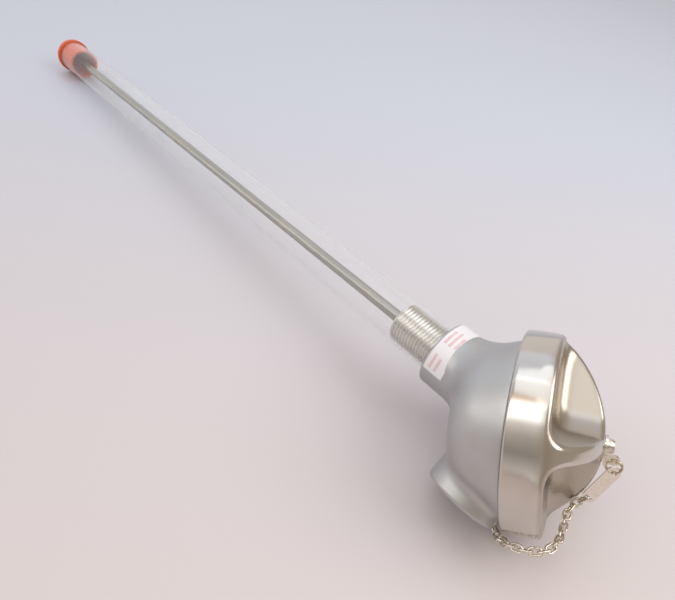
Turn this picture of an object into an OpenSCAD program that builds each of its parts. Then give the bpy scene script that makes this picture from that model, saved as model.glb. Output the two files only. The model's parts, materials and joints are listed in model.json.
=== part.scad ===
// Resistance thermometer probe with a stainless screw-cap connection head.
// The probe lies on its side, resting on the cap rim, the cable entry and the
// flange of the transit plug. The origin is on the probe axis, at the shoulder
// where the process thread meets the neck, and +X runs from the tip to the head.

/* [Probe] */
// Diameter of the metal sheath
sheath_d = 6; // [4:0.5:8]
// Wall of the sheath
sheath_wall = 0.7; // [0.5:0.1:1]
// Length of sheath that stands out of the process thread
insertion_len = 400; // [150:10:600]
// Length of the sensing element
element_len = 15; // [8:1:25]
// Diameter of a bare lead wire
wire_d = 0.7; // [0.4:0.1:0.8]

/* [Process thread] */
// Outside diameter of the process thread
thread_d = 20.955; // [16:0.005:24]
// Length of the process thread below the neck
thread_len = 26; // [16:1:32]
// Length of thread screwed up into the neck
thread_engaged = 16; // [10:1:18]

/* [Head] */
// Diameter of the neck
neck_d = 33; // [30:0.5:38]
// Radius of the threaded collar that the cap screws onto
collar_r = 38.2; // [36:0.1:42]
// Height of the collar above the cap's back rim
collar_h = 8.5; // [7:0.5:10]
// Wall of the casting
head_wall = 4.5; // [3.5:0.1:5.5]
// Depth of the bowl behind the cap's back rim
bowl_depth = 26; // [24:0.5:30]
// How much the bowl narrows from its top to its bottom, on the radius
bowl_taper = 9; // [6:0.5:10]
// Distance from the neck's end to the terminal floor
floor_x = 30; // [29:0.5:34]
// Distance of the cap rim's centre from the neck's end
cap_x = 47; // [46:0.5:52]
// Sideways distance of the cap rim's centre, towards the cable entry
cap_w = 5; // [3:0.5:7]
// Angle between the cap's axis and the probe's axis
cap_tilt = 30; // [25:1:35]

/* [Cable entry] */
// Diameter of the cable entry boss
entry_d = 33.6; // [30:0.2:36]
// Distance from the probe axis to the boss's end face
entry_reach = 45.5; // [45:0.5:52]
// Distance of the entry's axis from the neck's end
entry_x = 48; // [47:0.5:52]
// Core radius of the entry's thread
entry_bore_r = 9.315; // [7:0.005:11]
// Length of the entry's thread
entry_thread_len = 17.5; // [12:0.5:20]

/* [Screw cap] */
// Radius of the cap's band
cap_r = 43; // [42:0.5:48]
// Radius of the dome that the grip is cut from
dome_r = 54; // [48:0.5:60]
// Height of the ledge on each side of the grip
ledge_h = 14.5; // [13:0.5:18]
// Thickness of the cap between its hollow and the ledge
crown_t = 3; // [2.5:0.1:4.5]
// Rounding between the band and the dome
shoulder_r = 4; // [3:0.5:8]
// Thickness of the grip at its middle
grip_t = 8; // [7:0.5:12]
// Width of the grip where it runs into the band
grip_end_w = 30; // [24:1:44]
// Rounding where the grip rises from the ledge
grip_fillet = 3; // [1:0.5:5]
// How far the cap is turned on its thread
grip_turn = 17; // [-90:1:90]
// Which way the swivel faces
swivel_turn = 38; // [-90:1:90]

/* [Chain] */
// Diameter of the chain's wire
link_wire = 1; // [0.8:0.1:1.2]
// Clear width inside a link
link_width = 1.9; // [1.7:0.1:2.4]
// Clear length inside a link
link_len = 4.1; // [3.8:0.1:6]
// Width of the strap between the ring and the chain
strap_width = 5.2; // [4:0.1:6]
// Distance between the strap's holes
strap_span = 17; // [10:0.5:18]

/* [Terminals] */
// Diameter of the ceramic terminal base
base_d = 30.4; // [29:0.2:32]
// Height of the ceramic terminal base
base_h = 8.5; // [7:0.5:10]
// Thickness of the mounting plate under the base
plate_t = 1.5; // [1:0.1:2.5]

/* [Transit guard] */
// Outside diameter of the clear guard tube
guard_d = 24; // [23.5:0.1:30]
// Wall of the guard tube
guard_wall = 0.8; // [0.6:0.1:1]
// Distance from the sheath's tip to the far end of the tube
guard_over = 3; // [1:0.5:20]
// Diameter of the plug's flange
plug_flange_d = 26.5; // [25:0.5:34]
// Thickness of the plug's flange
plug_flange_t = 6; // [4:0.5:9]
// Length of the plug inside the tube
plug_len = 20; // [12:1:30]

/* [Label] */
// Width of the neck label
label_w = 10.5; // [8:0.5:11]
// Thickness of the neck label
label_t = 0.3; // [0.2:0.05:0.5]

/* [Hidden] */
$fn = 64;

// Clearances
fit_gap = 0.1;      // between pieces that are screwed or pushed together
running_gap = 0.3;  // between pieces that turn or slide on each other
seam_turn = 100;    // keeps the seams of round faces that cross each other apart

// Derived sizes of the probe
sheath_r = sheath_d / 2;
sheath_bore_r = sheath_r - sheath_wall;
thread_r = thread_d / 2;
tip_x = -(thread_len + insertion_len);
tip_wall = 2;
plate_top = floor_x + plate_t;
sheath_top = plate_top + 1.5;
bead_len = 6;
wire_r = wire_d / 2;
wire_circle = sheath_bore_r * 0.52;
element_r = sheath_bore_r * 0.7;
element_x0 = tip_x + tip_wall + 1;
element_x1 = element_x0 + element_len;
thread_chamfer = 1.5;
relief_start = 0.15;
relief_len = 1.5;
relief_depth = 1.2;

// Derived sizes of the head
neck_r = neck_d / 2;
entry_r = entry_d / 2;
entry_inner = entry_reach - entry_thread_len;
bowl_bottom_r = collar_r - bowl_taper;
bowl_corner_r = 12;
bowl_shoulder = -1;
cavity_r = collar_r - head_wall;
cavity_bottom = head_wall - bowl_depth;
cavity_bottom_r = bowl_bottom_r - head_wall + bowl_taper * head_wall / bowl_depth;
edge_round = 1.2;

// Derived sizes of the cap
cap_bore_r = collar_r + running_gap;
ceiling_h = ledge_h - crown_t;
gasket_t = ceiling_h - collar_h - running_gap;
gasket_w = head_wall;
crest_h = 34.5;
dome_c = crest_h - dome_r;
shoulder_c = [cap_r - shoulder_r,
    dome_c + sqrt(pow(dome_r - shoulder_r, 2) - pow(cap_r - shoulder_r, 2))];
grip_run = sqrt(pow(cap_r, 2) - pow(grip_end_w / 2, 2));
grip_swell = (grip_end_w - grip_t) / 2;
scoop_r = (pow(grip_run, 2) + pow(grip_swell, 2)) / (2 * grip_swell);

// Swivel on the grip
seat_h = crest_h - 0.3;
seat_r = 6;
swivel_shank_r = 1.6;
swivel_screw_depth = 9;
swivel_head_r = 3;
swivel_head_h = 2.2;
eye_t = 1.2;
eye_washer_r = 4.2;
ear_hole = [6.4, seat_h + 4.1];
ear_r = 2.2;
ear_hole_r = 1.35;
ring_r = 3;
ring_wire_r = 0.5;
ring_lay = 0.45;
ring_angle = 5;
strap_t = 1;
strap_angle = -28;
strap_top = ear_hole + 2 * ring_r * [cos(ring_angle), sin(ring_angle)];
strap_foot = strap_top + strap_span * [cos(strap_angle), sin(strap_angle)];
strap_hole_r = 1.35;

// Anchor of the chain on the cable entry boss
anchor_w = entry_reach - 3.5;
anchor_angle = 50;
anchor_shank_r = 1.5;
anchor_head_r = 3.2;
anchor_head_h = 2.2;
anchor_depth = 5.5;
anchor_gap = link_wire + 5 * fit_gap;
end_link_width = 2 * anchor_shank_r + 0.6;
end_link_len = end_link_width + 4;

// Terminal block
base_r = base_d / 2;
base_top = plate_top + base_h;
plate_r = base_r + 0.6;
base_bore_r = sheath_r + 0.6;
base_screw_w = 11.5;
base_screw_r = 1.9;
base_screw_head_r = 3.2;
base_screw_head_h = 2.2;
base_screw_depth = 8;
spring_len = 7.5;
spring_seat = plate_top + base_h / 2;
spring_r = 2.6;
spring_wire_r = 0.4;
spring_turns = 5;
clamp_at = [5.6, 8];
clamp_size = [6, 7.2, 6];
clamp_screw_r = 1.5;
clamp_head_r = 2.6;
clamp_head_h = 2;
clamp_wire_x = base_top + 2;
clamp_wire_hole_r = 1;
sleeve_r = 0.75;
barrier_h = 4;
barrier_t = 1.5;
slot_w = 0.8;
slot_depth = 0.9;

// Earth terminal on the floor of the bowl, in the cap's axes
earth_at = [4, -18.5];
earth_screw_r = 1.6;
earth_head_r = 3.6;
earth_head_h = 2.4;
earth_clamp_size = 8;
earth_clamp_t = 1.2;
earth_depth = 3.3;

// Guard tube and plug
guard_r = guard_d / 2;
guard_bore_r = guard_r - guard_wall;
guard_start = -running_gap;
guard_end = tip_x - guard_over;
plug_wall = 1.4;
plug_floor = 2;
plug_round = 3;

// Label
label_start = 1.3;
label_sweep = 215;
label_turn = 95;

// Rest position: the part rolls until the cap rim and the cable entry both
// touch the table, and pitches until the plug's flange does.
function cap_lies(a) = let (across = cap_r * cos(cap_tilt) * cos(a), along = cap_r * sin(a))
    cap_w * cos(a) + norm([across, along]);
function cap_touch_x(a) = cap_x + cap_r * sin(cap_tilt)
    * cos(atan2(sin(a), cos(cap_tilt) * cos(a)));
function entry_lies(a) = entry_reach * cos(a) + entry_r * sin(a);
function head_pitch(a) = atan((entry_lies(a) - plug_flange_d / 2)
    / (entry_x - guard_end + plug_flange_t - plug_round));
function rest_error(a) = cap_lies(a) - entry_lies(a)
    - (cap_touch_x(a) - entry_x) * tan(head_pitch(a));
function find_roll(lo, hi, n) = let (mid = (lo + hi) / 2)
    n == 0 ? mid : rest_error(mid) > 0 ? find_roll(lo, mid, n - 1) : find_roll(mid, hi, n - 1);
rest_roll = find_roll(20, 80, 24);
rest_pitch = head_pitch(rest_roll);

// Frames. The head is drawn with the probe along X and the cable entry along -Z.
module lie() { rotate([-rest_roll, -rest_pitch, 0]) children(); }
// Z along the probe, X towards the cable entry
module along_probe(x = 0) { translate([x, 0, 0]) rotate([0, 90, 0]) children(); }
// Z along the cap's axis from its back rim, X towards the cable entry
module in_cap() { translate([cap_x, 0, -cap_w]) rotate([0, 90 - cap_tilt, 0]) children(); }
// Z along the cable entry, from the probe axis outwards
module along_entry() { translate([entry_x, 0, 0]) rotate([180, 0, 0]) children(); }

// Small shapes
function unit(v) = v / norm(v);
function polar(r, a) = [r * cos(a), r * sin(a)];

// Material outside a radius r at corner v, whose edges run along a and b
module corner_waste(v, a, b, r) {
    middle = unit(unit(a) + unit(b));
    half = acos(unit(a) * unit(b)) / 2;
    c = v + middle * r / sin(half);
    t = r / tan(half);
    difference() {
        polygon([v - middle * 2, v + unit(a) * t, c, v + unit(b) * t]);
        translate(c) circle(r);
    }
}

module tube(r_out, r_in, h) {
    difference() {
        cylinder(r = r_out, h = h);
        translate([0, 0, -1]) cylinder(r = r_in, h = h + 2);
    }
}

// Pan head screw that points down -Z, with its head's underside at z = 0
module screw(shank_r, shank_len, head_r, head_h, slot = true) {
    difference() {
        union() {
            translate([0, 0, -shank_len]) cylinder(r = shank_r, h = shank_len + head_h / 2);
            cylinder(r = head_r, h = head_h * 0.6);
            translate([0, 0, head_h * 0.6]) cylinder(r1 = head_r, r2 = head_r * 0.8, h = head_h * 0.4);
        }
        if (slot)
            translate([-head_r - 1, -slot_w / 2, head_h - slot_depth])
                cube([2 * head_r + 2, slot_w, slot_depth + 1]);
    }
}

// Closed skin over a list of rings, each with the same number of points. With
// looped set, the last ring joins the first instead of both being filled in.
module skin(rings, looped = false) {
    n = len(rings);
    sides = len(rings[0]);
    walls = [for (i = [0:n - (looped ? 1 : 2)], k = [0:sides - 1])
        let (j = (k + 1) % sides, next = (i + 1) % n)
        [i * sides + k, next * sides + k, next * sides + j, i * sides + j]];
    ends = [[for (k = [0:sides - 1]) k], [for (k = [0:sides - 1]) n * sides - 1 - k]];
    polyhedron([for (ring = rings) each ring], looped ? walls : concat(walls, ends));
}

// Rings of a wire through points p, mitred at each bend. The offsets o are square to leg i - 1.
function leg(p, i) = unit(p[i + 1] - p[i]);
function mitred(p, o, i) = i == len(p) - 1 ? [[for (v = o) p[i] + v]]
    : let (d = leg(p, i - 1), m = unit(d + leg(p, i)), q = [for (v = o) v - d * (v * m) / (d * m)],
        e = leg(p, i), next = [for (v = q) v - e * (v * e)])
        concat([[for (v = q) p[i] + v]], mitred(p, next, i + 1));

// Rings of radius r along a list of points, the first leg of which runs along Z
function wire_rings(points, r, sides = 10) =
    let (start = [for (k = [0:sides - 1]) r * [cos(360 * k / sides), -sin(360 * k / sides), 0]])
        concat([[for (v = start) points[0] + v]], mitred(points, start, 1));

// Body casting
module bowl_profile() {
    taper = [collar_r - bowl_bottom_r, bowl_depth + bowl_shoulder];
    difference() {
        polygon([[0, -bowl_depth], [bowl_bottom_r, -bowl_depth], [collar_r, bowl_shoulder],
            [collar_r, collar_h], [0, collar_h]]);
        corner_waste([bowl_bottom_r, -bowl_depth], [-1, 0], taper, bowl_corner_r);
    }
}

module cavity_profile() {
    polygon([[0, cavity_bottom], [cavity_bottom_r, cavity_bottom], [cavity_r, bowl_shoulder],
        [cavity_r, collar_h + 1], [0, collar_h + 1]]);
}

module boss_profile(r, z0, z1) {
    difference() {
        translate([0, z0]) square([r, z1 - z0]);
        corner_waste([r, z1], [-1, 0], [0, -1], edge_round);
    }
}

module at_anchor(z = 0) {
    along_entry() translate([0, 0, anchor_w])
        rotate([0, 90, -anchor_angle]) translate([0, 0, entry_r + z]) children();
}

module at_base_screws(x) {
    for (side = [-1, 1]) along_probe(x) translate([side * base_screw_w, 0, 0]) children();
}

module head_body() {
    color("#b4b2ad") lie() difference() {
        union() {
            in_cap() rotate(seam_turn) rotate_extrude() bowl_profile();
            along_entry() rotate(seam_turn / 2)
                rotate_extrude() boss_profile(entry_r, entry_inner, entry_reach);
            along_probe(floor_x) rotate(seam_turn / 2) mirror([0, 0, 1])
                rotate_extrude() boss_profile(neck_r, 0, floor_x);
        }
        difference() {
            in_cap() rotate(seam_turn * 2) rotate_extrude() cavity_profile();
            along_entry() rotate(seam_turn / 2) translate([0, 0, entry_inner])
                cylinder(r = entry_r, h = entry_thread_len);
            along_probe(-1) rotate(seam_turn / 2) cylinder(r = neck_r, h = floor_x + 1);
        }
        along_probe(-1) cylinder(r = thread_r + fit_gap, h = thread_engaged + 2.5);
        along_probe(0) cylinder(r = sheath_r + running_gap, h = floor_x + 1);
        along_entry() translate([0, 0, entry_inner - 1])
            cylinder(r = entry_bore_r, h = entry_thread_len + 3);
        at_base_screws(floor_x - base_screw_depth - 1)
            cylinder(r = base_screw_r + fit_gap, h = base_screw_depth + 2);
        in_cap() translate([earth_at[0], earth_at[1], cavity_bottom - earth_depth - fit_gap])
            cylinder(r = earth_screw_r + fit_gap, h = earth_depth + 2);
        at_anchor(-anchor_depth - fit_gap) cylinder(r = anchor_shank_r + fit_gap, h = anchor_depth + 2);
    }
}

// Screw cap, cut from a dome of revolution by one scoop on each side of the grip
module dome_profile() {
    difference() {
        intersection() {
            translate([0, dome_c]) circle(r = dome_r, $fn = 128);
            square([cap_r, crest_h + 1]);
        }
        difference() {
            polygon([shoulder_c, shoulder_c + [shoulder_r + 4, 0],
                shoulder_c + [shoulder_r + 4, shoulder_r + 6],
                shoulder_c + (shoulder_r + 6) * unit(shoulder_c - [0, dome_c])]);
            translate(shoulder_c) circle(shoulder_r);
        }
        corner_waste([cap_r, 0], [-1, 0], [0, 1], edge_round);
    }
}

module scoop() {
    rotate_extrude($fn = 128) difference() {
        square([scoop_r, crest_h]);
        corner_waste([scoop_r, 0], [-1, 0], [0, 1], grip_fillet);
    }
}

module cap() {
    color("#bdb9b2") lie() in_cap() difference() {
        rotate_extrude($fn = 128) dome_profile();
        translate([0, 0, -1]) cylinder(r = cap_bore_r, h = ceiling_h + 1, $fn = 128);
        for (side = [-1, 1])
            rotate(grip_turn) translate([side * (grip_t / 2 + scoop_r), 0, ledge_h]) scoop();
        translate([0, 0, seat_h]) cylinder(r = seat_r, h = 5);
        translate([0, 0, seat_h - swivel_screw_depth - 1])
            cylinder(r = swivel_shank_r + fit_gap, h = swivel_screw_depth + 2);
    }
}

module cap_gasket() {
    color("#3a3a3a") lie() in_cap() translate([0, 0, ceiling_h - gasket_t])
        tube(collar_r, collar_r - gasket_w, gasket_t);
}

// Chain with its swivel, ring and strap
module chain_screw() {
    color("#c9c4b8") lie() in_cap() translate([0, 0, seat_h + eye_t + 2 * fit_gap])
        screw(swivel_shank_r, swivel_screw_depth + eye_t, swivel_head_r, swivel_head_h);
}

// Plate of the given outline standing in the cap's X-Z plane
module upright(t) { rotate([90, 0, 0]) translate([0, 0, -t / 2]) linear_extrude(t) children(); }

module swivel_eye() {
    foot_h = seat_h + fit_gap;
    color("#c9c4b8") lie() in_cap() rotate(swivel_turn) difference() {
        union() {
            translate([0, 0, foot_h]) cylinder(r = eye_washer_r, h = eye_t);
            translate([0, -ear_r, foot_h]) cube([ear_hole[0] + ear_r, 2 * ear_r, eye_t]);
            upright(eye_t) {
                translate([ear_hole[0] - ear_r, foot_h]) square([2 * ear_r, ear_hole[1] - foot_h]);
                translate(ear_hole) circle(ear_r);
            }
        }
        translate([0, 0, seat_h]) cylinder(r = swivel_shank_r + fit_gap, h = 10);
        upright(10) translate(ear_hole) circle(ear_hole_r);
        translate([0, 0, foot_h + eye_t]) cylinder(r = swivel_head_r + running_gap, h = 10);
    }
}

// Two turns of wire lying against each other
module split_ring() {
    middle = ear_hole + ring_r * polar(1, ring_angle);
    color("#c2b48e") lie() in_cap() rotate(swivel_turn)
        translate([middle[0], 0, middle[1]]) rotate([0, -ring_angle, 0]) rotate_extrude() for (side = [-1, 1])
            translate([ring_r, side * ring_lay]) circle(ring_wire_r, $fn = 24);
}

module chain_strap() {
    color("#d2cec6") lie() in_cap() rotate(swivel_turn) upright(strap_t)
        translate(strap_top) rotate(strap_angle) difference() {
            union() {
                translate([0, -strap_width / 2]) square([strap_span, strap_width]);
                circle(strap_width / 2);
                translate([strap_span, 0]) circle(strap_width / 2);
            }
            circle(strap_hole_r);
            translate([strap_span, 0]) circle(strap_hole_r);
        }
}

// The chain's route in the cap's axes, from the strap to the anchor screw
function from_head(p) = let (x = p[0] - cap_x, w = p[1] - cap_w)
    [x * sin(cap_tilt) + w * cos(cap_tilt), p[2], x * cos(cap_tilt) - w * sin(cap_tilt)];
anchor_reach = entry_r + anchor_gap / 2;
anchor_point = from_head([entry_x + anchor_reach * cos(anchor_angle), anchor_w,
    anchor_reach * sin(anchor_angle)]);
anchor_axis = [cos(anchor_angle) * sin(cap_tilt), sin(anchor_angle),
    cos(anchor_angle) * cos(cap_tilt)];
function faced(p) = let (out = polar(1, swivel_turn)) [p[0] * out[0], p[0] * out[1], p[1]];
route = [faced(strap_foot), faced(strap_foot + [3.4, -3.5]), [28, 18, 24.2], [32.8, 14.2, 23],
    [38, 8, 22.4], [42.6, 1.4, 21.2], [46, -3.6, 17.2], [47.3, -5, 11], [47.5, -2.6, 4.8],
    [47.2, 2.2, 0.2], [46.6, 7, -2.5], anchor_point];

link_wire_r = link_wire / 2;
swivel_side = [-sin(swivel_turn), cos(swivel_turn), 0];
function route_len(i) = i == 0 ? 0 : route_len(i - 1) + norm(route[i] - route[i - 1]);
legs = [for (i = [0:len(route) - 1]) route_len(i)];
function route_at(s) = let (i = max([for (k = [0:len(route) - 2]) s >= legs[k] ? k : 0]))
    route[i] + (route[i + 1] - route[i]) * (s - legs[i]) / (legs[i + 1] - legs[i]);
function eased_at(s) = (route_at(s - link_len / 2) + route_at(s) + route_at(s + link_len / 2)) / 3;
first_link = link_len / 2 + link_wire_r;
last_link = legs[len(legs) - 1] - (end_link_len / 2 - anchor_shank_r - fit_gap);
last_step = (link_len + end_link_len) / 2 - link_wire / 4;
links = 2 * ceil((last_link - last_step - first_link) / (2 * (link_len - fit_gap / 2)));
link_step = (last_link - last_step - first_link) / links;

// Oval link in the X-Y plane
module link(width, length) {
    bend = width / 2 + link_wire_r;
    straight = length - width;
    for (side = [-1, 1]) {
        translate([side * straight / 2, 0, 0]) rotate([0, 0, -90 * side])
            rotate_extrude(angle = 180, $fn = 32) translate([bend, 0])
                circle(link_wire_r, $fn = 24);
        translate([-straight / 2, side * bend, 0]) rotate([0, 90, 0])
            cylinder(r = link_wire_r, h = straight, $fn = 24);
    }
}

// Places a link at a distance along the route, turned every other time
module place_link(s, odd) {
    t = unit(eased_at(s + link_len / 4) - eased_at(s - link_len / 4));
    share = s / legs[len(legs) - 1];
    side = unit(cross(cross(t, (1 - share) * swivel_side + share * anchor_axis), t));
    n = odd ? side : cross(t, side);
    b = cross(n, t);
    p = eased_at(s);
    multmatrix([[t[0], b[0], n[0], p[0]], [t[1], b[1], n[1], p[1]], [t[2], b[2], n[2], p[2]]])
        children();
}

module chain() {
    color("#c7c1b4") lie() in_cap() {
        for (i = [0:links])
            place_link(first_link + i * link_step, (links - i) % 2 == 1)
                link(link_width, link_len);
        place_link(last_link, true) link(end_link_width, end_link_len);
    }
}

module anchor_screw() {
    color("#c9c4b8") lie() at_anchor(anchor_gap)
        screw(anchor_shank_r, anchor_depth + anchor_gap, anchor_head_r, anchor_head_h);
}

// Probe
module process_nipple() {
    relief_end = relief_start + relief_len;
    color("#a9a79f") lie() difference() {
        union() {
            along_probe(-thread_len)
                cylinder(r1 = thread_r - thread_chamfer, r2 = thread_r, h = thread_chamfer);
            along_probe(thread_chamfer - thread_len)
                cylinder(r = thread_r, h = thread_len - thread_chamfer + relief_start);
            along_probe(-1) cylinder(r = thread_r - relief_depth, h = thread_engaged + 1);
            along_probe(relief_end) cylinder(r = thread_r, h = thread_engaged - relief_end);
        }
        along_probe(-thread_len - 1)
            cylinder(r = sheath_r + fit_gap / 2, h = thread_len + thread_engaged + 2);
    }
}

module probe_sheath() {
    color("#8f8d88") lie() difference() {
        along_probe(tip_x) rotate_extrude() boss_mirrored(sheath_r, sheath_top - tip_x);
        along_probe(tip_x + tip_wall) cylinder(r = sheath_bore_r, h = sheath_top - tip_x);
    }
}

// Shaft outline with its lower edge rounded
module boss_mirrored(r, length) {
    difference() {
        square([r, length]);
        corner_waste([r, 0], [-1, 0], [0, 1], min(edge_round, r / 2));
    }
}

module at_wires() {
    for (i = [0:2]) rotate(120 * i + 30) translate([wire_circle, 0, 0]) children();
}

module sheath_filler() {
    start = tip_x + tip_wall;
    color("#e6e2d6") lie() difference() {
        along_probe(start + fit_gap)
            cylinder(r = sheath_bore_r - fit_gap, h = sheath_top - bead_len - start - 2 * fit_gap);
        along_probe(element_x0 - fit_gap)
            cylinder(r = element_r + fit_gap, h = element_len + 2 * fit_gap);
        along_probe(element_x1) at_wires()
            cylinder(r = wire_r + fit_gap / 2, h = sheath_top - element_x1, $fn = 24);
    }
}

module rtd_element() {
    color("#f2efe6") lie() along_probe(element_x0) cylinder(r = element_r, h = element_len);
}

module seal_bead() {
    color("#2e3a44") lie() difference() {
        along_probe(sheath_top - bead_len) cylinder(r = sheath_bore_r - fit_gap / 2, h = bead_len);
        along_probe(sheath_top - bead_len - 1) at_wires()
            cylinder(r = wire_r + fit_gap / 2, h = bead_len + 2, $fn = 24);
    }
}

// Each lead's points in the probe's own axes: [towards entry, sideways, along]
leads = [for (i = [0:2]) let (start = polar(wire_circle, 120 * i + 30),
        corner = [i == 1 ? -1 : 1, i == 2 ? -1 : 1])
    [[start[0], start[1], element_x1], [start[0], start[1], clamp_wire_x],
        [corner[0] * clamp_at[0], corner[1] * (clamp_at[1] - clamp_size[1] / 2 - 1.5), clamp_wire_x],
        [corner[0] * clamp_at[0], corner[1] * (clamp_at[1] + 1), clamp_wire_x]]];

module lead_wires() {
    color("#c8843c") lie() along_probe() for (points = leads) skin(wire_rings(points, wire_r));
}

module wire_sleeves() {
    colours = ["#c23b2e", "#c23b2e", "#e9e7e0"];
    lie() along_probe() for (i = [0:2]) let (p = leads[i], top = [p[0][0], p[0][1], sheath_top + 0.2],
            path = [top, p[1], p[2], p[2] + [0, sign(p[2][1]) * 1.2, 0]],
            outside = wire_rings(path, sleeve_r), bore = wire_rings(path, wire_r + fit_gap / 2))
        color(colours[i])
            skin(concat(outside, [for (k = [len(bore) - 1:-1:0]) bore[k]]), looped = true);
}

// Terminal block
module mounting_plate() {
    color("#a6a49e") lie() difference() {
        along_probe(floor_x) tube(plate_r, sheath_r + fit_gap / 2, plate_t);
        at_base_screws(floor_x - 1) cylinder(r = base_screw_r + 2 * fit_gap, h = plate_t + 2);
    }
}

module at_clamps(x) {
    for (a = [-1, 1], b = [-1, 1]) along_probe(x)
        translate([a * clamp_at[0], b * clamp_at[1], 0]) children();
}

module terminal_base() {
    color("#efece2") lie() difference() {
        union() {
            along_probe(plate_top) cylinder(r = base_r, h = base_h);
            for (side = [-1, 1]) along_probe(base_top)
                translate([-barrier_t / 2, side > 0 ? base_bore_r + 1 : -base_r + 1.5, -1])
                    cube([barrier_t, base_r - base_bore_r - 2.5, barrier_h + 1]);
        }
        along_probe(plate_top - 1) cylinder(r = base_bore_r, h = base_h + 2);
        at_base_screws(plate_top - 1) cylinder(r = base_screw_r + 4 * fit_gap, h = base_h + 2);
        at_base_screws(spring_seat) cylinder(r = spring_r + spring_wire_r + running_gap, h = base_h);
    }
}

module terminal_clamps() {
    color("#c6a55a") lie() difference() {
        at_clamps(base_top) translate([-clamp_size[0] / 2, -clamp_size[1] / 2, 0]) cube(clamp_size);
        at_clamps(clamp_wire_x) cylinder(r = clamp_screw_r + fit_gap, h = clamp_size[2]);
        at_clamps(clamp_wire_x) translate([0, -clamp_size[1], 0]) rotate([-90, 0, 0])
            cylinder(r = clamp_wire_hole_r, h = 2 * clamp_size[1]);
    }
}

module terminal_screws() {
    top = base_top + clamp_size[2];
    color("#cfc9b8") lie() at_clamps(top)
        screw(clamp_screw_r, top - clamp_wire_x - clamp_wire_hole_r, clamp_head_r, clamp_head_h);
}

spring_top = spring_seat + spring_len;

module base_screws() {
    color("#c9c4b8") lie() at_base_screws(spring_top)
        screw(base_screw_r, spring_top - floor_x + base_screw_depth, base_screw_head_r,
            base_screw_head_h);
}

// Coil of round wire
module coil(r, wire_r, length, turns, steps = 12, sides = 8) {
    lift = length - 2 * wire_r;
    slope = atan(lift / (turns * 2 * PI * r));
    skin([for (i = [0:turns * steps]) let (a = 360 * i / steps) [for (k = [0:sides - 1])
        let (b = 360 * k / sides, out = r + wire_r * cos(b), up = wire_r * sin(b))
            [out * cos(a) + up * sin(slope) * sin(a), out * sin(a) - up * sin(slope) * cos(a),
                wire_r + lift * i / (turns * steps) + up * cos(slope)]]]);
}

module base_springs() {
    color("#9c9a94") lie() at_base_screws(spring_seat + fit_gap)
        coil(spring_r, spring_wire_r, spring_len - 2 * fit_gap, spring_turns);
}

// Earth terminal
module earth_clamp() {
    color("#c6a55a") lie() in_cap() difference() {
        translate([earth_at[0] - earth_clamp_size / 2, earth_at[1] - earth_clamp_size / 2,
            cavity_bottom]) cube([earth_clamp_size, earth_clamp_size, earth_clamp_t]);
        translate([earth_at[0], earth_at[1], cavity_bottom - 1])
            cylinder(r = earth_screw_r + fit_gap, h = earth_clamp_t + 2);
    }
}

module earth_screw() {
    color("#c9c4b8") lie() in_cap()
        translate([earth_at[0], earth_at[1], cavity_bottom + earth_clamp_t])
            screw(earth_screw_r, earth_clamp_t + earth_depth, earth_head_r, earth_head_h);
}

// Label wrapped part way round the neck
module neck_label() {
    color("#e6e1e6") lie() along_probe(label_start) rotate(label_turn)
        rotate_extrude(angle = label_sweep)
            translate([neck_r + fit_gap / 2, 0]) square([label_t, label_w]);
}

// Transit guard
module guard_tube() {
    color([0.85, 0.88, 0.9, 0.3]) lie()
        along_probe(guard_end) tube(guard_r, guard_bore_r, guard_start - guard_end);
}

module guard_plug() {
    flange_r = plug_flange_d / 2;
    insert_r = guard_bore_r - fit_gap;
    color("#e07e5a") lie() along_probe(guard_end) rotate_extrude() difference() {
        union() {
            translate([0, -plug_flange_t]) square([flange_r, plug_flange_t]);
            translate([0, -1]) square([insert_r, plug_len + 1]);
        }
        translate([-1, plug_floor - plug_flange_t])
            square([insert_r - plug_wall + 1, plug_len + plug_flange_t]);
        corner_waste([flange_r, -plug_flange_t], [-1, 0], [0, 1], plug_round);
        corner_waste([flange_r, 0], [-1, 0], [0, -1], edge_round);
    }
}

head_body();
cap();
cap_gasket();
chain_screw();
swivel_eye();
split_ring();
chain_strap();
chain();
anchor_screw();
process_nipple();
probe_sheath();
sheath_filler();
rtd_element();
seal_bead();
lead_wires();
wire_sleeves();
mounting_plate();
terminal_base();
terminal_clamps();
terminal_screws();
base_screws();
base_springs();
earth_clamp();
earth_screw();
neck_label();
guard_tube();
guard_plug();
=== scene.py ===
import json
import math

import bmesh
import bpy
import numpy as np
from mathutils import Matrix, Vector


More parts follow.
